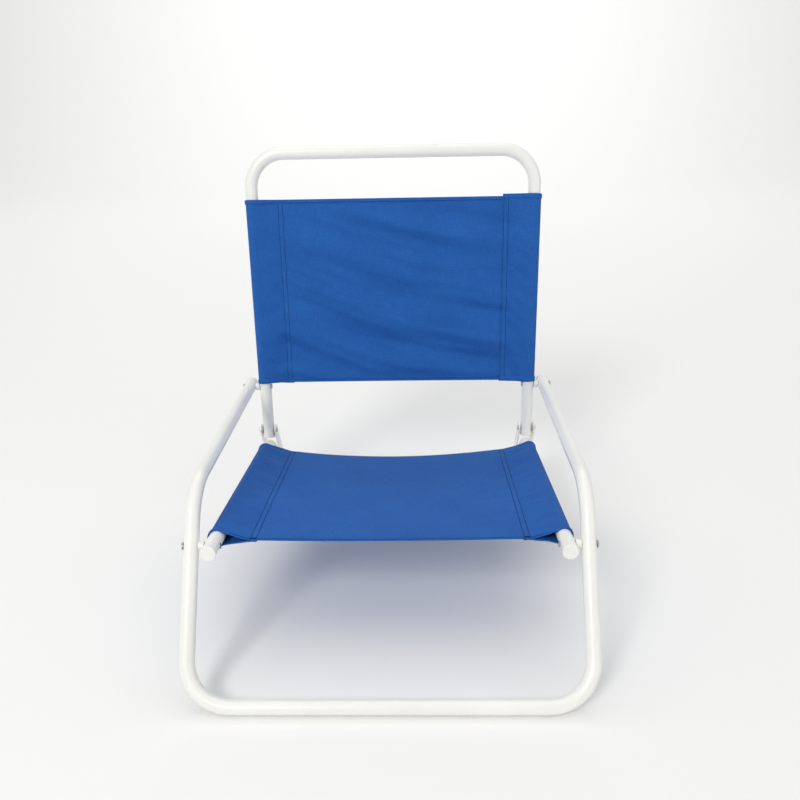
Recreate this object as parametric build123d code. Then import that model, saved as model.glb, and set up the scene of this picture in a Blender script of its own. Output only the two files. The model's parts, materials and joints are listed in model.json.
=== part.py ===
"""Low folding camp chair: two bent tube frames, a folding back frame, link bars and two fabric slings.

Millimetres, +Z up. The sitter faces -Y. The origin is on the floor, midway between the two floor bars' outer edges.
"left" is the -X side and "right" the +X side.
"""

from build123d import *
import math
import os

# Tube, shared by all three frames
TUBE_D = 19.0
TUBE_WALL = 1.0
TUBE_R = TUBE_D / 2
BORE_R = TUBE_R - TUBE_WALL

# Front frame: floor bar, two legs and two arms in one tube
FRONT_SPAN = 492.0           # between leg centrelines
LEG_ANGLE = 55.3             # legs from the floor
SEAT_PIVOT_HEIGHT = 168.0
ARM_HEIGHT = 228.4           # arm centreline
ARM_PIVOT_REACH = 398.5      # seat pivot to arm pivot, along Y
ARM_OVERHANG = 14.0          # arm tube past its pivot
ARM_BEND_R = 80.0
FLOOR_CORNER_R = 55.0

# Seat frame: two rails, two rear legs and the rear floor bar in one tube
SIDE_GAP = 7.0               # between the front frame's tube and the inner frames' tube
SEAT_SLOPE = 5.6             # rails fall towards the back
RAIL_OVERHANG = 18.0         # rail tube ahead of its pivot
RAIL_LENGTH = 387.0          # pivot to the bend's corner point
REAR_LEG_ANGLE = 50.0        # rear legs from the floor
REAR_BEND_R = 60.0

# Back frame: two uprights and the handle bar in one tube
BACK_LEAN = 8.0
HANDLE_HEIGHT = 590.0        # handle bar centreline
HANDLE_CORNER_R = 52.0
LINK_PIVOT_DROP = 76.0       # arm pivot to upper link pivot, along the upright
UPRIGHT_OVERHANG = 10.6      # upright tube below its link pivot

# Link bars between the uprights and the rear legs
LOWER_PIVOT_DOWN = 62.0      # bend's corner point to lower link pivot, along the rear leg
LINK_WIDTH = 20.0
LINK_THICKNESS = 2.0
WASHER_D = 13.0
WASHER_THICKNESS = 1.6

# Tubular rivets, spacers and end plugs
RIVET_D = 5.0
RIVET_BORE_D = 3.0
RIVET_BORE_DEPTH = 9.0
RIVET_HEAD_D = 10.0
RIVET_HEAD_T = 2.0
RIVET_ROLL_D = 8.0
RIVET_ROLL_T = 1.3
SPACER_D = 12.0
PLUG_D = 20.0
PLUG_HEAD = 4.0
UPRIGHT_PLUG_HEAD = 2.0
PLUG_STEM = 7.0
PLUG_EDGE = 0.9

# Fabric slings
FABRIC = 0.9                 # one layer with its weave
PANEL = 1.8                  # doubled cloth of the panel, as a closed solid
SLEEVE_DEPTH = 42.0          # tube centreline to the sleeve's stitching
SEAT_SLING_START = 22.0      # from the seat pivot, along the rail
SEAT_SLING_LENGTH = 329.0
SEAT_SAG = 12.0
BACK_SLING_START = 6.8       # from the arm pivot, along the upright
BACK_SLING_LENGTH = 291.0
BACK_SAG = 3.0

# Clearances
FIT = 0.05                   # radial, rivet in its hole and plug in its tube
SEAT_GAP = 0.1               # axial, between stacked parts
CLOTH_GAP = 0.3              # sleeve to tube
OPEN_PIVOT_GAP = 0.3         # lower link washers to the rear leg

# Side-view places, worked out from the sizes above
def along(angle):
    """Unit vector in the YZ plane, at an angle in degrees above +Y."""
    return Vector(0, math.cos(math.radians(angle)), math.sin(math.radians(angle)))


LEG_DIR = along(LEG_ANGLE)
RAIL_DIR = along(-SEAT_SLOPE)
REAR_LEG_DIR = along(-REAR_LEG_ANGLE)
UPRIGHT_DIR = along(90 - BACK_LEAN)

FLOOR_BAR_DROP = SEAT_PIVOT_HEIGHT - TUBE_R
FRONT_FOOT = -FLOOR_BAR_DROP / LEG_DIR.Z * LEG_DIR.Y
BEND_DROP = RAIL_LENGTH * -RAIL_DIR.Z
REAR_LEG_LENGTH = (FLOOR_BAR_DROP - BEND_DROP) / -REAR_LEG_DIR.Z
REAR_FOOT = RAIL_LENGTH * RAIL_DIR.Y + REAR_LEG_LENGTH * REAR_LEG_DIR.Y

SEAT_PIVOT = Vector(0, -(FRONT_FOOT + REAR_FOOT) / 2, SEAT_PIVOT_HEIGHT)
ARM_PIVOT = Vector(0, SEAT_PIVOT.Y + ARM_PIVOT_REACH, ARM_HEIGHT)
LINK_PIVOT = ARM_PIVOT - UPRIGHT_DIR * LINK_PIVOT_DROP
REAR_BEND = SEAT_PIVOT + RAIL_DIR * RAIL_LENGTH
LOWER_PIVOT = REAR_BEND + REAR_LEG_DIR * LOWER_PIVOT_DOWN

FRONT_X = FRONT_SPAN / 2
INNER_X = FRONT_X - TUBE_D - SIDE_GAP


def out(point, x):
    """The same side-view place, moved out to x."""
    return Vector(x, point.Y, point.Z)


def tube(points, radii):
    """Bent round tube whose centreline runs through the corner points."""
    path = FilletPolyline(*points, radius=radii)
    end = Plane(origin=path @ 0, z_dir=path % 0)
    outer = sweep(end * Circle(TUBE_R), path=path)
    bore = sweep(end * Circle(BORE_R), path=path)
    return outer - bore


def cross_bar(point, diameter, x_from, x_to):
    """Round bar along X through a side-view place."""
    start = Plane(origin=out(point, x_from), z_dir=(1, 0, 0))
    return extrude(start * Circle(diameter / 2), amount=x_to - x_from)


def drilled(frame, points):
    """Frame with a rivet hole through both of its sides at each side-view place."""
    for point in points:
        frame -= cross_bar(point, RIVET_D + 2 * FIT, -FRONT_X - TUBE_D, FRONT_X + TUBE_D)
    return frame


def front_frame():
    """Front floor bar, legs and arms."""
    arm_end = ARM_PIVOT + Vector(0, ARM_OVERHANG, 0)
    elbow = SEAT_PIVOT + LEG_DIR * ((ARM_HEIGHT - SEAT_PIVOT_HEIGHT) / LEG_DIR.Z)
    foot = SEAT_PIVOT - LEG_DIR * (FLOOR_BAR_DROP / LEG_DIR.Z)
    side = [arm_end, elbow, foot]
    points = [out(p, -FRONT_X) for p in side] + [out(p, FRONT_X) for p in reversed(side)]
    frame = tube(points, [ARM_BEND_R, FLOOR_CORNER_R, FLOOR_CORNER_R, ARM_BEND_R])
    return drilled(frame, [SEAT_PIVOT, ARM_PIVOT])


def seat_frame():
    """Seat rails, rear legs and rear floor bar."""
    rail_end = SEAT_PIVOT - RAIL_DIR * RAIL_OVERHANG
    foot = REAR_BEND + REAR_LEG_DIR * REAR_LEG_LENGTH
    side = [rail_end, REAR_BEND, foot]
    points = [out(p, -INNER_X) for p in side] + [out(p, INNER_X) for p in reversed(side)]
    frame = tube(points, [REAR_BEND_R, FLOOR_CORNER_R, FLOOR_CORNER_R, REAR_BEND_R])
    return drilled(frame, [SEAT_PIVOT, LOWER_PIVOT])


def back_frame():
    """Uprights and handle bar."""
    low_end = LINK_PIVOT - UPRIGHT_DIR * UPRIGHT_OVERHANG
    handle = ARM_PIVOT + UPRIGHT_DIR * ((HANDLE_HEIGHT - ARM_HEIGHT) / UPRIGHT_DIR.Z)
    side = [low_end, handle]
    points = [out(p, -INNER_X) for p in side] + [out(p, INNER_X) for p in reversed(side)]
    frame = tube(points, [HANDLE_CORNER_R, HANDLE_CORNER_R])
    return drilled(frame, [ARM_PIVOT, LINK_PIVOT])


def sleeve(inset):
    """Sleeve outline round the right-hand tube, drawn at the origin: the tube's round joined to the stitching."""
    round_part = Circle(TUBE_R + CLOTH_GAP + FABRIC - inset)
    stitch = Pos(-SLEEVE_DEPTH + 2 * inset, 0) * Circle(PANEL / 2 - inset / 2)
    return make_hull(round_part.edges() + stitch.edges())


def sling(start, direction, length, sag):
    """Sling between two tubes: a sleeve round each and a panel that sags between their stitch lines."""
    stitch_x = INNER_X - SLEEVE_DEPTH
    top = ThreePointArc((-stitch_x, PANEL / 2), (0, PANEL / 2 - sag), (stitch_x, PANEL / 2))
    bottom = ThreePointArc((stitch_x, -PANEL / 2), (0, -PANEL / 2 - sag), (-stitch_x, -PANEL / 2))
    right_side = Line(top @ 1, bottom @ 0)
    left_side = Line(bottom @ 1, top @ 0)
    profile = make_face(top + right_side + bottom + left_side)
    for turn in (0, 180):
        place = Rot(0, 0, turn) * Pos(INNER_X, 0)
        profile += place * sleeve(0)
    for turn in (0, 180):
        place = Rot(0, 0, turn) * Pos(INNER_X, 0)
        profile -= place * sleeve(FABRIC)
    across = Plane(origin=start, x_dir=(1, 0, 0), z_dir=direction)
    return extrude(across * profile, amount=length)


def seat_fabric():
    """Seat sling, drawn from its rear edge so that the sag goes down."""
    rear = SEAT_PIVOT + RAIL_DIR * (SEAT_SLING_START + SEAT_SLING_LENGTH)
    return sling(rear, RAIL_DIR * -1, SEAT_SLING_LENGTH, SEAT_SAG)


def back_fabric():
    """Back sling, drawn from its lower edge; the sag goes to the back."""
    low = ARM_PIVOT + UPRIGHT_DIR * BACK_SLING_START
    return sling(low, UPRIGHT_DIR, BACK_SLING_LENGTH, -BACK_SAG)


def rivet(point, x_roll, x_head):
    """Tubular rivet with its head outside and its rolled, hollow end inside."""
    shank = cross_bar(point, RIVET_D, x_roll, x_head)
    head = cross_bar(point, RIVET_HEAD_D, x_head, x_head + RIVET_HEAD_T)
    head = fillet(head.edges().filter_by(GeomType.CIRCLE).sort_by(Axis.X)[-1], RIVET_HEAD_T * 0.6)
    roll = cross_bar(point, RIVET_ROLL_D, x_roll - RIVET_ROLL_T, x_roll)
    roll = fillet(roll.edges().filter_by(GeomType.CIRCLE).sort_by(Axis.X)[0], RIVET_ROLL_T * 0.6)
    bore = cross_bar(point, RIVET_BORE_D, x_roll - RIVET_ROLL_T, x_roll + RIVET_BORE_DEPTH)
    dimple = cross_bar(point, RIVET_BORE_D, x_head + RIVET_HEAD_T / 2, x_head + RIVET_HEAD_T)
    return shank + head + roll - bore - dimple


def pivot_rivet(point):
    """Rivet through an inner frame's tube and the front frame's tube."""
    return rivet(point, INNER_X - TUBE_R - SEAT_GAP, FRONT_X + TUBE_R + SEAT_GAP)


def washer(point, x_from, x_to):
    """Flat ring that a rivet passes through."""
    return cross_bar(point, WASHER_D, x_from, x_to) - cross_bar(point, RIVET_D + 2 * FIT, x_from, x_to)


def spacer(point):
    """Plastic collar on a rivet, between an inner frame and the front frame."""
    x_from = INNER_X + TUBE_R + SEAT_GAP
    x_to = FRONT_X - TUBE_R - SEAT_GAP
    return cross_bar(point, SPACER_D, x_from, x_to) - cross_bar(point, RIVET_D + 2 * FIT, x_from, x_to)


# The link stack is the same on both sides of the tube: gap, washer, gap, bar, gap, rivet head
BAR_OFFSET = TUBE_R + WASHER_THICKNESS + 2 * SEAT_GAP
HEAD_OFFSET = BAR_OFFSET + LINK_THICKNESS + SEAT_GAP


def link_bar(x_from):
    """Flat bar with round ends and a rivet hole at each link pivot."""
    ends = [cross_bar(p, LINK_WIDTH, x_from, x_from + LINK_THICKNESS) for p in (LINK_PIVOT, LOWER_PIVOT)]
    run = LOWER_PIVOT - LINK_PIVOT
    middle = (LOWER_PIVOT + LINK_PIVOT) * 0.5
    face = Plane(origin=out(middle, x_from), x_dir=run, z_dir=(1, 0, 0))
    bar = extrude(face * Rectangle(run.length, LINK_WIDTH), amount=LINK_THICKNESS)
    bar = bar + ends[0] + ends[1]
    for point in (LINK_PIVOT, LOWER_PIVOT):
        bar -= cross_bar(point, RIVET_D + 2 * FIT, x_from - LINK_THICKNESS, x_from + 2 * LINK_THICKNESS)
    return bar


def link_rivet():
    """Upper link rivet, through both bars, their washers and the upright."""
    return rivet(LINK_PIVOT, INNER_X - HEAD_OFFSET, INNER_X + HEAD_OFFSET)


def stub_rivet():
    """Lower link rivet's end on the outer bar: head and shank, stopping short of the rear leg."""
    x_from = INNER_X + TUBE_R + OPEN_PIVOT_GAP
    x_head = INNER_X + BAR_OFFSET + LINK_THICKNESS
    head = cross_bar(LOWER_PIVOT, RIVET_HEAD_D, x_head, x_head + RIVET_HEAD_T)
    head = fillet(head.edges().filter_by(GeomType.CIRCLE).sort_by(Axis.X)[-1], RIVET_HEAD_T * 0.6)
    dimple = cross_bar(LOWER_PIVOT, RIVET_BORE_D, x_head + RIVET_HEAD_T / 2, x_head + RIVET_HEAD_T)
    return cross_bar(LOWER_PIVOT, RIVET_D, x_from, x_head) + head - dimple


def plug(end, direction, head_length):
    """Plastic plug in a tube's open end: a rounded head and a stem in the bore."""
    face = Plane(origin=end, z_dir=direction)
    head = extrude(face * Circle(PLUG_D / 2), amount=head_length)
    far_edge = head.edges().filter_by(GeomType.CIRCLE).sort_by(lambda e: (e.center() - end).dot(direction))[-1]
    head = fillet(far_edge, PLUG_EDGE)
    stem = extrude(face * Circle(BORE_R - FIT), amount=-PLUG_STEM)
    return head + stem


def flip_over(piece, x):
    """The piece mirrored about the plane at x, as for the two faces of one tube."""
    return mirror(piece, about=Plane(origin=(x, 0, 0), z_dir=(1, 0, 0)))


def right_side_pieces():
    """Every small piece of the right-hand side, by name."""
    upper_from = INNER_X + TUBE_R + SEAT_GAP
    lower_from = INNER_X + TUBE_R + OPEN_PIVOT_GAP
    lower_to = INNER_X + BAR_OFFSET
    outer = {
        "link_bar_outer": link_bar(INNER_X + BAR_OFFSET),
        "link_upper_washer_outer": washer(LINK_PIVOT, upper_from, upper_from + WASHER_THICKNESS),
        "link_lower_washer_outer": washer(LOWER_PIVOT, lower_from, lower_to),
        "link_lower_rivet_outer": stub_rivet(),
    }
    inner = {name.replace("outer", "inner"): flip_over(piece, INNER_X) for name, piece in outer.items()}
    pieces = {
        "seat_pivot_rivet": pivot_rivet(SEAT_PIVOT),
        "seat_pivot_spacer": spacer(SEAT_PIVOT),
        "arm_pivot_rivet": pivot_rivet(ARM_PIVOT),
        "arm_pivot_spacer": spacer(ARM_PIVOT),
        "link_upper_rivet": link_rivet(),
        "seat_rail_plug": plug(out(SEAT_PIVOT - RAIL_DIR * RAIL_OVERHANG, INNER_X), RAIL_DIR * -1, PLUG_HEAD),
        "arm_plug": plug(out(ARM_PIVOT + Vector(0, ARM_OVERHANG, 0), FRONT_X), Vector(0, 1, 0), PLUG_HEAD),
        "upright_plug": plug(
            out(LINK_PIVOT - UPRIGHT_DIR * UPRIGHT_OVERHANG, INNER_X), UPRIGHT_DIR * -1, UPRIGHT_PLUG_HEAD
        ),
    }
    return {**pieces, **outer, **inner}


def main():
    os.makedirs("parts", exist_ok=True)
    pieces = {
        "front_frame": front_frame(),
        "seat_frame": seat_frame(),
        "back_frame": back_frame(),
        "seat_fabric": seat_fabric(),
        "back_fabric": back_fabric(),
    }
    for name, piece in right_side_pieces().items():
        pieces["right_" + name] = piece
        pieces["left_" + name] = flip_over(piece, 0)
    for name, piece in pieces.items():
        export_step(piece, f"parts/{name}.step")


main()
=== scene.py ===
"""Looks of the low folding camp chair: white powder-coated tube, blue polyester slings, riveted link bars."""

import json
import math
from itertools import product

import bmesh
import bpy
from mathutils import Matrix, Vector, noise


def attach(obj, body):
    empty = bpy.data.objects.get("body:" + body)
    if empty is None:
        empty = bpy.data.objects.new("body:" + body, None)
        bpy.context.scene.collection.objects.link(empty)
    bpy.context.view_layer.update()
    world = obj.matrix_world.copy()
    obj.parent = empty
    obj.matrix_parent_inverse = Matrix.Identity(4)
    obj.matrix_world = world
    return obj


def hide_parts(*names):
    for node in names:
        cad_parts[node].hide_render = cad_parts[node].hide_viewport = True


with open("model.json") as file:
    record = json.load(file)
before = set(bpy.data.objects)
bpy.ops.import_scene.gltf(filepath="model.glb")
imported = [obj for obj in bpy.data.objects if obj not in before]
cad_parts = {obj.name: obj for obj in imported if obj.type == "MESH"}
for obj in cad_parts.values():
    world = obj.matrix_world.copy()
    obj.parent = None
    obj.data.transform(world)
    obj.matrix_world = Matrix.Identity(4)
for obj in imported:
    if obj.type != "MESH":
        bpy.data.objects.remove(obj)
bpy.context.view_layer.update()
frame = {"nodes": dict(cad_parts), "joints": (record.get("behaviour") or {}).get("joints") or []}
nodes = frame["nodes"]
pivot = {j["name"]: Vector(j["pos_m"]) for j in frame["joints"]}

MM = 0.001

# Frame sizes that the slings follow
TUBE_R = 9.5 * MM
RAIL_SLOPE = math.radians(5.6)
BACK_LEAN = math.radians(8.0)
RAIL_X = pivot["right_link_swing"].x        # tube centreline of the seat and the back

# Cloth
SEAT_LENGTH = 329 * MM                      # along the rails, hem to hem
BACK_LENGTH = 291 * MM                      # along the uprights, hem to hem
CLOTH_T = 0.9 * MM
HEM_T = 2.1 * MM
HEM_WIDTH = 7 * MM
SLEEVE_R = TUBE_R + 0.3 * MM + CLOTH_T / 2
SLEEVE_DEPTH = 41 * MM                      # tube centreline to the first stitch row
ROW_GAP = 7 * MM                            # between the two stitch rows
UNDERLAP = 9 * MM                           # cloth left past the first row
LAYER_GAP = 1.0 * MM                        # middle of one layer to the middle of the next, at the rows
SOFT_EDGE = 1.5 * MM                        # width over which a hem or a raw edge thins out
GRID_STEP = 3 * MM                          # mesh step on the open panel
TUBE_STEP = 1.7 * MM                        # mesh step round the tubes
SEAM_STEP = 1.0 * MM                        # mesh step at the rows and the closed side
HEM_LINES = (0.0, 0.5, 1.2, 2.2, 3.4, 4.6, 5.6, 6.4, 7.2, 8.2)    # mesh lines in from a free edge, in mm

# Thread
STITCH_PITCH = 3.0 * MM
STITCH_LENGTH = 1.8 * MM
THREAD_R = 0.40 * MM
FIRST_STITCH = 0.6 * MM                     # free edge to the first stitch of a row
TACK_STITCHES = 5                           # lines of thread in a bar tack
TACK_PITCH = 0.55 * MM
TACK_START = 2.2 * MM
# Loose thread end, piece by piece: ahead, out and aside, in mm
TAIL = ((1.3, -0.1, 0.2), (0.8, -1.2, 0.5), (-0.1, -1.5, 0.4))

# Colour sockets of a Mix node
MIX_A = 6
MIX_B = 7
MIX_RESULT = 2


# ---------------------------------------------------------------- materials

def new_material(name):
    """Material with its node tree, its shader and a helper that adds nodes."""
    material = bpy.data.materials.new(name)
    material.use_nodes = True
    tree = material.node_tree
    shader = tree.nodes["Principled BSDF"]

    def add(kind, **settings):
        node = tree.nodes.new(kind)
        for key, value in settings.items():
            if hasattr(node, key):
                setattr(node, key, value)
            else:
                node.inputs[key.replace("_", " ").title()].default_value = value
        return node

    return material, tree, shader, add


def ramp(add, tree, source, low, high, low_at=0.0, high_at=1.0):
    """Colour ramp between two colours, fed by a value."""
    node = add("ShaderNodeValToRGB")
    node.color_ramp.elements[0].position = low_at
    node.color_ramp.elements[1].position = high_at
    node.color_ramp.elements[0].color = (*low, 1)
    node.color_ramp.elements[1].color = (*high, 1)
    tree.links.new(source, node.inputs["Fac"])
    return node.outputs["Color"]


def value_range(add, tree, source, low, high, from_low=0.0, from_high=1.0):
    """A value moved from one range, 0 to 1 if none is given, into another."""
    node = add("ShaderNodeMapRange")
    node.inputs["From Min"].default_value = from_low
    node.inputs["From Max"].default_value = from_high
    node.inputs["To Min"].default_value = low
    node.inputs["To Max"].default_value = high
    tree.links.new(source, node.inputs["Value"])
    return node.outputs["Result"]


def feed(tree, socket, value):
    """Link an output to a socket, or set the socket where the value is plain."""
    if isinstance(value, bpy.types.NodeSocket):
        tree.links.new(value, socket)
    else:
        socket.default_value = value


def calculate(add, tree, operation, *values):
    """Result of a maths node on outputs and plain numbers."""
    node = add("ShaderNodeMath", operation=operation)
    for socket, value in zip(node.inputs, values):
        feed(tree, socket, value)
    return node.outputs["Value"]


def mix(add, tree, blend_type, factor, first, second):
    """Two colours mixed by a factor."""
    node = add("ShaderNodeMix", data_type="RGBA", blend_type=blend_type)
    feed(tree, node.inputs["Factor"], factor)
    feed(tree, node.inputs[MIX_A], first)
    feed(tree, node.inputs[MIX_B], second)
    return node.outputs[MIX_RESULT]


def grain(add, tree, place, scale, detail, roughness=0.5):
    """Noise value at a place, as large grain or small."""
    node = add("ShaderNodeTexNoise", scale=scale, detail=detail, roughness=roughness)
    tree.links.new(place, node.inputs["Vector"])
    return node.outputs["Fac"]


def bump(add, tree, height, distance, strength, normal=None):
    """Bump node on a height value, in metres."""
    node = add("ShaderNodeBump")
    node.inputs["Distance"].default_value = distance
    node.inputs["Strength"].default_value = strength
    tree.links.new(height, node.inputs["Height"])
    if normal:
        tree.links.new(normal, node.inputs["Normal"])
    return node.outputs["Normal"]


def powder_coat():
    """White powder coat: fine orange peel, faint tone changes and grey scuffs close to the floor."""
    material, tree, shader, add = new_material("powder_coat")
    place = add("ShaderNodeTexCoord").outputs["Object"]
    peel = grain(add, tree, place, 700.0, 2.0)
    tone = grain(add, tree, place, 9.0, 4.0)
    scuff = grain(add, tree, place, 160.0, 6.0, 0.75)
    paint = ramp(add, tree, tone, (0.84, 0.84, 0.80), (0.89, 0.89, 0.86), 0.3, 0.7)

    height = add("ShaderNodeSeparateXYZ")
    tree.links.new(place, height.inputs["Vector"])
    near_floor = value_range(add, tree, height.outputs["Z"], 0.0, 1.0, 5 * MM, 0.3 * MM)
    patches = value_range(add, tree, scuff, 0.0, 1.0, 0.52, 0.62)
    worn = calculate(add, tree, "MULTIPLY", near_floor, patches)
    scuffed = mix(add, tree, "MIX", worn, paint, (0.42, 0.41, 0.40, 1))

    tree.links.new(scuffed, shader.inputs["Base Color"])
    tree.links.new(value_range(add, tree, tone, 0.24, 0.36), shader.inputs["Roughness"])
    tree.links.new(bump(add, tree, peel, 0.12 * MM, 0.35), shader.inputs["Normal"])
    shader.inputs["Coat Weight"].default_value = 0.25
    shader.inputs["Coat Roughness"].default_value = 0.12
    return material


def moulded_plastic():
    """White moulded plastic of the plugs and collars, with a fine spark-eroded texture."""
    material, tree, shader, add = new_material("moulded_plastic")
    place = add("ShaderNodeTexCoord").outputs["Object"]
    sparked = grain(add, tree, place, 1500.0, 3.0)
    tone = grain(add, tree, place, 40.0, 3.0)
    colour = ramp(add, tree, tone, (0.80, 0.80, 0.775), (0.87, 0.87, 0.845), 0.3, 0.7)
    tree.links.new(colour, shader.inputs["Base Color"])
    tree.links.new(value_range(add, tree, tone, 0.38, 0.5), shader.inputs["Roughness"])
    tree.links.new(bump(add, tree, sparked, 0.06 * MM, 0.3), shader.inputs["Normal"])
    shader.inputs["Subsurface Weight"].default_value = 0.08
    shader.inputs["Subsurface Radius"].default_value = (0.002, 0.002, 0.002)
    return material


def zinc_steel(name, low, high, roughness):
    """Zinc-plated steel with a mottled, slightly dulled face."""
    material, tree, shader, add = new_material(name)
    place = add("ShaderNodeTexCoord").outputs["Object"]
    mottle = grain(add, tree, place, 420.0, 5.0, 0.65)
    scratch = grain(add, tree, place, 2600.0, 2.0)
    dulled = value_range(add, tree, mottle, roughness - 0.1, roughness + 0.12)
    tree.links.new(ramp(add, tree, mottle, low, high, 0.3, 0.7), shader.inputs["Base Color"])
    tree.links.new(dulled, shader.inputs["Roughness"])
    tree.links.new(bump(add, tree, scratch, 0.04 * MM, 0.4), shader.inputs["Normal"])
    shader.inputs["Metallic"].default_value = 1.0
    return material


def woven_cloth():
    """Plain-woven royal blue polyester. The weave follows the cloth's own flat layout, in metres."""
    material, tree, shader, add = new_material("woven_cloth")
    flat = add("ShaderNodeUVMap", uv_map="flat").outputs["UV"]
    axes = add("ShaderNodeSeparateXYZ")
    tree.links.new(flat, axes.inputs["Vector"])
    yarn_pitch = 0.62 * MM

    def yarns(source, shift):
        """One set of yarns, as a rounded profile across them."""
        turn = calculate(add, tree, "MULTIPLY_ADD", source, math.tau / yarn_pitch, shift)
        return calculate(add, tree, "SINE", turn)

    warp = yarns(axes.outputs["X"], 0)
    weft = yarns(axes.outputs["Y"], math.pi / 2)
    weave = value_range(add, tree, calculate(add, tree, "MULTIPLY", warp, weft), 0.0, 1.0)

    slubs = []
    for stretch in ((1500.0, 60.0, 1.0), (60.0, 1500.0, 1.0)):
        mapping = add("ShaderNodeMapping")
        mapping.inputs["Scale"].default_value = stretch
        tree.links.new(flat, mapping.inputs["Vector"])
        slubs.append(grain(add, tree, mapping.outputs["Vector"], 1.0, 2.0))
    streak = calculate(add, tree, "MULTIPLY", calculate(add, tree, "ADD", *slubs), 0.5)

    cloudy = grain(add, tree, flat, 14.0, 4.0)
    speckle = grain(add, tree, flat, 620.0, 3.0, 0.8)
    dye = ramp(add, tree, cloudy, (0.0130, 0.104, 0.395), (0.0160, 0.120, 0.435), 0.3, 0.7)
    slub_tint = ramp(add, tree, streak, (0.80, 0.83, 0.87), (1.18, 1.15, 1.12), 0.36, 0.64)
    speck_tint = ramp(add, tree, speckle, (0.74, 0.77, 0.82), (1.26, 1.22, 1.17), 0.34, 0.66)
    streaked = mix(add, tree, "MULTIPLY", 1.0, dye, slub_tint)
    tree.links.new(mix(add, tree, "MULTIPLY", 1.0, streaked, speck_tint), shader.inputs["Base Color"])
    shader.inputs["Roughness"].default_value = 0.78
    shader.inputs["Specular IOR Level"].default_value = 0.22
    shader.inputs["Sheen Weight"].default_value = 0.06
    shader.inputs["Sheen Roughness"].default_value = 0.5
    shader.inputs["Sheen Tint"].default_value = (0.35, 0.55, 1.0, 1)
    woven = bump(add, tree, weave, 0.16 * MM, 0.7)
    tree.links.new(bump(add, tree, streak, 0.1 * MM, 0.4, woven), shader.inputs["Normal"])
    return material


def sewing_thread():
    """Twisted navy thread."""
    material, tree, shader, add = new_material("sewing_thread")
    place = add("ShaderNodeTexCoord").outputs["Object"]
    twist = grain(add, tree, place, 3000.0, 2.0)
    colour = ramp(add, tree, twist, (0.003, 0.014, 0.075), (0.008, 0.034, 0.15), 0.35, 0.65)
    tree.links.new(colour, shader.inputs["Base Color"])
    tree.links.new(bump(add, tree, twist, 0.05 * MM, 0.5), shader.inputs["Normal"])
    shader.inputs["Roughness"].default_value = 0.8
    shader.inputs["Specular IOR Level"].default_value = 0.12
    return material


def pale_ground():
    """Plain pale studio floor."""
    material, tree, shader, add = new_material("pale_ground")
    shader.inputs["Base Color"].default_value = (0.90, 0.90, 0.89, 1)
    shader.inputs["Roughness"].default_value = 0.9
    shader.inputs["Specular IOR Level"].default_value = 0.1
    return material


# ---------------------------------------------------------------- slings

def smooth(x):
    """Smooth step from 0 to 1."""
    x = min(max(x, 0.0), 1.0)
    return x * x * (3 - 2 * x)


def folds(across, along, heading, width, length, seed):
    """Long soft folds, about -0.5 to 0.5, that run along a heading in degrees."""
    turn = math.radians(heading)
    run = across * math.cos(turn) + along * math.sin(turn)
    over = along * math.cos(turn) - across * math.sin(turn)
    return noise.noise(Vector((run / length, over / width, seed)))


class Sleeve:
    """One side's sleeve: which face it closes on, and how far its closed layer slips along the tube."""

    def __init__(self, closes, slip_start, slip_end):
        self.closes = closes                # 1 behind the panel, -1 in front of it
        self.slip_start = slip_start
        self.slip_end = slip_end

    def slip(self, share):
        return self.slip_start + (self.slip_end - self.slip_start) * share


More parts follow.
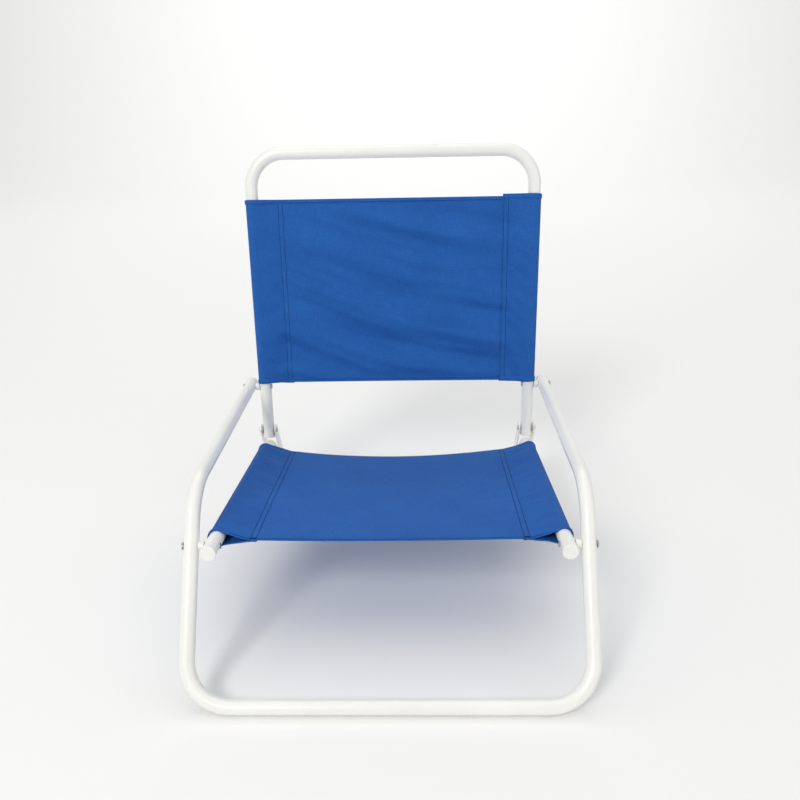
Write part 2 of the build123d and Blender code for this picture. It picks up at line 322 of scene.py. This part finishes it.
class Sling:
    """A cloth sling on two parallel tubes, laid out flat and then hung.

    Flat places are x across from the middle and v along from the start edge. Hung places are across, along
    and out, where out points to the side that the sitter touches.
    """

    def __init__(
        self, name, start, along, out, length, row_depth, stitch_out, sag, waves, sleeves, hem_inset, hem_side
    ):
        self.name = name
        self.start = start
        self.along = along
        self.out = out
        self.length = length
        self.row = RAIL_X - row_depth                           # first stitch row
        self.stitch_out = stitch_out
        self.sag = sag
        self.waves = waves
        self.sleeves = sleeves
        self.hem_inset = hem_inset
        self.hem_side = hem_side
        self.reach = math.sqrt(row_depth**2 - SLEEVE_R**2)      # cloth between the row and the tube
        self.touch = math.pi - math.acos(SLEEVE_R / row_depth)  # turn on the tube where the cloth meets it
        self.wrap = 2 * self.touch * SLEEVE_R                   # cloth round the tube
        self.closed = self.row + 2 * self.reach + self.wrap     # where the cloth is back at the row
        self.half_width = self.closed + UNDERLAP

    def sleeve(self, x):
        return self.sleeves[0] if x < 0 else self.sleeves[1]

    def panel(self, u, v):
        """How far out the panel lies between the stitch rows, without its waves."""
        share = v / self.length
        bow = 1 - (u / self.row) ** 2
        return self.stitch_out(share) + self.sag(share) * bow

    def wave(self, u, v):
        """Waves of the panel: the soft folds, and the tuck and the groove at the stitch rows."""
        from_row = abs(u) - self.row
        beside = math.exp(-max(abs(from_row + ROW_GAP / 2) - ROW_GAP / 2, 0) / (6 * MM))
        tuck = math.sin(v / (4.3 * MM) + 2.5 * noise.noise(Vector((u * 8, v * 30, 3.0))))
        groove = sum(math.exp(-(((from_row + gap) / (1.1 * MM)) ** 2)) for gap in (0, ROW_GAP))
        return self.waves(u, v) + (0.2 * tuck * beside - 0.22 * groove) * MM

    def slack(self, x, v):
        """Shallow dents between a sleeve's stitching and its tube."""
        return 2.6 * MM * folds(x, v, 12 * math.copysign(1, x), 15 * MM, 90 * MM, 5.2)

    def place(self, x, v):
        """Point of the cloth's middle surface, in the frame."""
        side = math.copysign(1, x)
        past = abs(x) - self.row
        if past <= 0:
            return self.hung(x, v, self.panel(x, v) + self.wave(x, v))
        sleeve = self.sleeve(x)
        closes = sleeve.closes
        row_x = side * self.row
        touch_u = RAIL_X + SLEEVE_R * math.cos(self.touch)
        touch_n = SLEEVE_R * math.sin(self.touch)
        slid = v + sleeve.slip(v / self.length) * smooth((past - self.reach) / self.wrap)
        if past < self.reach:
            # From the row out to the tube
            t = past / self.reach
            u = self.row + t * (touch_u - self.row)
            base = closes * self.panel(self.row, v)
            wave = closes * self.wave(row_x, v) * (1 - smooth(t / 0.6))
            dent = 4 * t * (1 - t) * self.slack(x, v)
            n = base + t * (touch_n - base) + wave + dent
        elif past < self.reach + self.wrap:
            # Round the tube
            turn = self.touch - (past - self.reach) / SLEEVE_R
            u = RAIL_X + SLEEVE_R * math.cos(turn)
            n = SLEEVE_R * math.sin(turn)
        elif past < 2 * self.reach + self.wrap:
            # From the tube back to the row
            t = (past - self.reach - self.wrap) / self.reach
            u = touch_u + t * (self.row - touch_u)
            end = closes * (self.panel(self.row, slid) + self.wave(row_x, slid) * smooth((t - 0.4) / 0.6))
            dent = 4 * t * (1 - t) * self.slack(row_x + 3 * x, v)
            n = t * (end - LAYER_GAP + touch_n) - touch_n + dent
        else:
            # The underlap, which lies on the panel past the row
            u = self.closed + self.row - abs(x)
            pressed = 0.2 * smooth((abs(x) - self.half_width + 2.5 * MM) / (2.5 * MM))
            n = closes * (self.panel(u, slid) + self.wave(side * u, slid)) - (1 - pressed) * LAYER_GAP
        return self.hung(side * u, slid, closes * n)

    def hung(self, u, v, n):
        return self.start + Vector((u, 0, 0)) + self.along * v + self.out * n

    def normal(self, x, v):
        """Direction of the cloth's outer face at a flat place, from its neighbours."""
        step = 0.4 * MM
        here = self.place(x, v)
        return (self.place(x + step, v) - here).cross(self.place(x, v + step) - here).normalized()

    def flat_size(self):
        """Width and length of the cut, with the turned hems."""
        return 2 * self.half_width, self.length + 2 * HEM_WIDTH

    def columns(self):
        """Flat places across the cloth, closer together at the stitch rows and round the tubes."""
        places = [0.0]
        while places[-1] < self.half_width:
            past = places[-1] - self.row
            if -ROW_GAP - 3 * MM < past < 3 * MM or places[-1] > self.closed - 4 * MM:
                step = SEAM_STEP
            elif self.reach - 2 * MM < past < self.reach + self.wrap + 2 * MM:
                step = TUBE_STEP
            else:
                step = GRID_STEP
            places.append(places[-1] + step)
        places[-1] = self.half_width
        return [-x for x in reversed(places[1:])] + places

    def lines(self):
        """Flat places along the cloth, closer together in the hems."""
        start = [v * MM for v in HEM_LINES]
        count = round((self.length - 2 * start[-1]) / GRID_STEP)
        step = (self.length - 2 * start[-1]) / count
        middle = [start[-1] + i * step for i in range(1, count)]
        return start + middle + [self.length - v for v in reversed(start)]

    def thickness(self, v):
        """Cloth thickness at a flat place: a turned hem along each free edge."""
        edge = min(v, self.length - v)
        rounded = 0.55 + 0.45 * smooth(edge / (1.2 * MM))
        turned = 1 - smooth((edge - HEM_WIDTH + SOFT_EDGE) / SOFT_EDGE)
        return CLOTH_T + (HEM_T - CLOTH_T) * turned * rounded

    def cloth(self, material):
        """The sling's cloth as one thin closed sheet."""
        columns = self.columns()
        lines = self.lines()
        bm = bmesh.new()
        bmesh.ops.create_grid(bm, x_segments=len(columns) - 1, y_segments=len(lines) - 1, size=0.5)
        flat = bm.loops.layers.uv.new("flat")
        group = bm.verts.layers.deform.new()
        for vert in bm.verts:
            x = columns[round((vert.co.x + 0.5) * (len(columns) - 1))]
            v = lines[round((vert.co.y + 0.5) * (len(lines) - 1))]
            for loop in vert.link_loops:
                loop[flat].uv = (x, v)
            raw_edge = smooth((abs(x) - self.half_width + SOFT_EDGE) / SOFT_EDGE)
            thick = self.thickness(v) * (1 - 0.4 * raw_edge)
            vert[group][0] = thick / HEM_T
            turned = self.hem_side
            if abs(x) > self.row:
                blend = smooth((abs(x) - self.row) / self.reach)
                turned += blend * (self.sleeve(x).closes - self.hem_side)
            vert.co = self.place(x, v)
            if thick > CLOTH_T:
                vert.co += self.normal(x, v) * turned * (thick - CLOTH_T) / 2
        mesh = bpy.data.meshes.new(self.name)
        bm.to_mesh(mesh)
        bm.free()
        for face in mesh.polygons:
            face.use_smooth = True
        piece = bpy.data.objects.new(self.name, mesh)
        bpy.context.scene.collection.objects.link(piece)
        piece.vertex_groups.new(name="thickness")
        mesh.materials.append(material)
        body = piece.modifiers.new("body", "SOLIDIFY")
        body.thickness = HEM_T
        body.offset = 0
        body.vertex_group = "thickness"
        return piece

    def seam_point(self, side, gap, v, face):
        """Place of a row's thread, on the outer (1) or inner (-1) face of all the layers at that row."""
        u = side * (self.row - gap)
        lift = face * (CLOTH_T / 2 + THREAD_R * 0.3)
        if face == -self.sleeve(side).closes:
            lift += face * LAYER_GAP
        return self.hung(u, v, self.panel(u, v) + self.wave(u, v) + lift)

    def hem_point(self, x, v, face):
        """Place of a hem's thread, on the outer (1) or inner (-1) face of the cloth."""
        return self.place(x, v) + self.normal(x, v) * face * (self.thickness(v) / 2 + THREAD_R * 0.3)

    def threads(self, material):
        """All rows of stitching on the sling, on both faces, and the bar tacks that close the rows."""
        bm = bmesh.new()
        count = int((self.length - 1 * MM) / STITCH_PITCH)
        for side, gap, face in product((-1, 1), (0, ROW_GAP), (1, -1)):
            for i in range(count):
                v = FIRST_STITCH + i * STITCH_PITCH
                a = self.seam_point(side, gap, v, face)
                b = self.seam_point(side, gap, v + STITCH_LENGTH, face)
                stitch(bm, a, b)
        for side, tack, face in product((-1, 1), range(TACK_STITCHES), (1, -1)):
            v = TACK_START + tack * TACK_PITCH
            for share in (0, 0.5):
                a = self.seam_point(side, ROW_GAP * share, v, face)
                b = self.seam_point(side, ROW_GAP * (share + 0.5), v + 0.2 * MM, face)
                stitch(bm, a, b)
        count = int(2 * (self.closed - 2 * MM) / STITCH_PITCH)
        for v, face in product((self.hem_inset, self.length - self.hem_inset), (1, -1)):
            for i in range(count):
                x = -self.closed + 2 * MM + i * STITCH_PITCH
                stitch(bm, self.hem_point(x, v, face), self.hem_point(x + STITCH_LENGTH, v, face))
        for side, gap in ((1, ROW_GAP), (-1, 0)):
            point = self.seam_point(side, gap, 0.8 * MM, 1)
            for ahead, drop, aside in TAIL:
                end = point + (self.out * drop - self.along * ahead + Vector((side * aside, 0, 0))) * MM
                stitch(bm, point, end)
                point = end
        mesh = bpy.data.meshes.new(self.name + "_threads")
        bm.to_mesh(mesh)
        bm.free()
        mesh.materials.append(material)
        for face in mesh.polygons:
            face.use_smooth = len(face.vertices) == 4
        piece = bpy.data.objects.new(self.name + "_threads", mesh)
        bpy.context.scene.collection.objects.link(piece)
        return piece


def stitch(bm, start, end):
    """One straight stitch."""
    run = end - start
    bmesh.ops.create_cone(
        bm,
        cap_ends=True,
        segments=6,
        radius1=THREAD_R,
        radius2=THREAD_R,
        depth=run.length,
        matrix=Matrix.Translation((start + end) / 2) @ run.to_track_quat("Z", "Y").to_matrix().to_4x4(),
    )


def seat_waves(u, v):
    """Nearly taut seat: low swells, and short pulls across from the stitch rows."""
    swell = folds(u, v, 4, 110 * MM, 260 * MM, 0.4)
    pull = folds(u, v, 6 * math.copysign(1, u), 16 * MM, 120 * MM, 2.6)
    inside = 187 * MM - abs(u)                  # in from a line just past the stitch rows
    near_row = math.exp(-inside / (55 * MM))
    return (1.6 * swell + 0.9 * pull * near_row) * MM


def back_waves(u, v):
    """Looser back: folds that run down from the left rows to the middle and level out to the right."""
    level = v + 0.29 * u - 0.15 * math.hypot(u, 50 * MM)
    wander = 14 * MM * noise.noise(Vector((u * 9, v * 7, 7.1)))
    roll = math.sin((level + wander) / (12 * MM))
    strength = 1.0 + 1.3 * noise.noise(Vector((u * 7 + 3, v * 9, 1.7)))
    calm = smooth(v / (22 * MM)) * smooth((BACK_LENGTH - v) / (45 * MM))
    crease = folds(u, level, 0, 15 * MM, 110 * MM, 9.3)
    inside = 189 * MM - abs(u)                  # in from a line just past the stitch rows
    pull = math.sin(v / (5.2 * MM) + 1.4 * math.copysign(1, u)) * math.exp(-inside / (26 * MM))
    loose = 0.55 + 0.45 * smooth(inside / (50 * MM))
    return ((3.3 * roll * strength + 3.3 * crease) * loose + 0.8 * pull) * calm * MM


def slings(cloth, thread):
    """Both slings, with the pieces that ride on the seat's and the back's bodies."""
    rail = Vector((0, math.cos(RAIL_SLOPE), -math.sin(RAIL_SLOPE)))
    rail_up = Vector((0, math.sin(RAIL_SLOPE), math.cos(RAIL_SLOPE)))
    upright = Vector((0, math.sin(BACK_LEAN), math.cos(BACK_LEAN)))
    upright_front = Vector((0, -math.cos(BACK_LEAN), math.sin(BACK_LEAN)))
    made = {
        "seat_fabric": Sling(
            name="seat_sling",
            start=pivot["seat_fold"] + rail * 22 * MM,
            along=rail,
            out=rail_up,
            length=SEAT_LENGTH,
            row_depth=SLEEVE_DEPTH + 1.5 * MM,
            stitch_out=lambda share: (-2.6 - 1.0 * share) * MM,
            sag=lambda share: (-2.0 - 9.5 * smooth(share * 1.3)) * MM,
            waves=seat_waves,
            sleeves=(Sleeve(1, -2.2 * MM, 0), Sleeve(1, -0.6 * MM, 0.5 * MM)),
            hem_inset=1.4 * MM,
            hem_side=-1,
        ),
        "back_fabric": Sling(
            name="back_sling",
            start=pivot["back_fold"] + upright * 6.8 * MM,
            along=upright,
            out=upright_front,
            length=BACK_LENGTH,
            row_depth=SLEEVE_DEPTH - 1.5 * MM,
            stitch_out=lambda share: -1.0 * MM,
            sag=lambda share: (-1.5 - 3.5 * math.sin(math.pi * share)) * MM,
            waves=back_waves,
            sleeves=(Sleeve(1, -1.6 * MM, -0.6 * MM), Sleeve(-1, -1.2 * MM, 3.2 * MM)),
            hem_inset=5 * MM,
            hem_side=0,
        ),
    }
    for node, sling in made.items():
        body = "seat" if node == "seat_fabric" else "back"
        piece = sling.cloth(cloth)
        threads = sling.threads(thread)
        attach(piece, body)
        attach(threads, body)
        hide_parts(node)
        sling.flat_size()


# ---------------------------------------------------------------- the frame's finishes

def finish_frame():
    """Materials of the CAD nodes, by what they are made of."""
    coat = powder_coat()
    plastic = moulded_plastic()
    rivet = zinc_steel("rivet_zinc", (0.42, 0.42, 0.41), (0.62, 0.62, 0.61), 0.36)
    washer = zinc_steel("washer_zinc", (0.5, 0.5, 0.49), (0.7, 0.7, 0.69), 0.3)
    kinds = {
        "frame": coat,
        "link_bar": coat,
        "plug": plastic,
        "spacer": plastic,
        "rivet": rivet,
        "washer": washer,
    }
    for name, node in nodes.items():
        for kind, material in kinds.items():
            if kind in name:
                node.data.materials.clear()
                node.data.materials.append(material)


# ---------------------------------------------------------------- studio

def studio():
    """Pale floor that curves up into a backdrop."""
    bm = bmesh.new()
    width = 12.0
    front = -12.0
    curve_start = 5.0
    curve_r = 3.0
    edge = [bm.verts.new((x, front, 0)) for x in (-width, width)]
    line = bm.edges.new(edge)
    floor = bmesh.ops.extrude_edge_only(bm, edges=[line])["geom"]
    moved = [g for g in floor if isinstance(g, bmesh.types.BMVert)]
    bmesh.ops.translate(bm, verts=moved, vec=(0, curve_start - front, 0))
    last = [g for g in floor if isinstance(g, bmesh.types.BMEdge) and all(v in moved for v in g.verts)]
    centre = (0, curve_start, curve_r)
    bmesh.ops.spin(bm, geom=last + moved, cent=centre, axis=(1, 0, 0), angle=math.radians(90), steps=24)
    mesh = bpy.data.meshes.new("ground")
    bm.to_mesh(mesh)
    bm.free()
    for face in mesh.polygons:
        face.use_smooth = True
    ground = bpy.data.objects.new("ground", mesh)
    bpy.context.scene.collection.objects.link(ground)
    mesh.materials.append(pale_ground())


def light(name, place, aim, size, power, tint=(1, 1, 1)):
    """Area light that faces a point."""
    data = bpy.data.lights.new(name, "AREA")
    data.energy = power
    data.color = tint
    data.size = size
    lamp = bpy.data.objects.new(name, data)
    lamp.location = place
    lamp.rotation_euler = (Vector(aim) - Vector(place)).to_track_quat("-Z", "Y").to_euler()
    bpy.context.scene.collection.objects.link(lamp)


def lights():
    """Broad overhead light, soft key from the front left, side fill, backdrop wash and dim surround."""
    middle = (0, 0, 0.3)
    light("overhead", (0.0, 0.6, 4.5), (0, 0.6, 0), 5.0, 58)
    light("front_key", (-1.5, -3.0, 2.6), middle, 1.2, 66, (1.0, 0.985, 0.96))
    light("side_fill", (2.8, -1.4, 1.2), middle, 1.4, 7)
    light("backdrop_wash", (0.0, 4.0, 6.5), (0, 8.0, 3.0), 4.0, 250)
    world = bpy.data.worlds.new("surround")
    world.use_nodes = True
    background = world.node_tree.nodes["Background"]
    background.inputs["Color"].default_value = (1.0, 1.0, 1.0, 1)
    background.inputs["Strength"].default_value = 0.5
    bpy.context.scene.world = world


def camera():
    """Camera in front of the chair, a little above it, looking down at the seat."""
    place = Vector((0.0404, -0.9712, 0.6732))
    heading = math.radians(1.536)
    down = math.radians(25.835)
    roll = math.radians(-1.162)
    level = Vector((-math.sin(heading), math.cos(heading), 0))
    forward = level * math.cos(down) - Vector((0, 0, math.sin(down)))
    right = Vector((math.cos(heading), math.sin(heading), 0))
    up = right.cross(forward)
    turned_right = right * math.cos(roll) + up * math.sin(roll)
    turned_up = up * math.cos(roll) - right * math.sin(roll)
    data = bpy.data.cameras.new("view")
    data.lens = 33.68
    data.sensor_width = 36
    data.shift_x = -0.0034
    data.shift_y = 0.0664
    data.clip_start = 0.01
    lens = bpy.data.objects.new("view", data)
    turn = Matrix((turned_right, turned_up, -forward)).transposed().to_4x4()
    lens.matrix_world = Matrix.Translation(place) @ turn
    bpy.context.scene.collection.objects.link(lens)
    bpy.context.scene.camera = lens


bpy.context.scene.view_settings.view_transform = "Standard"
camera()
finish_frame()
slings(woven_cloth(), sewing_thread())
studio()
lights()
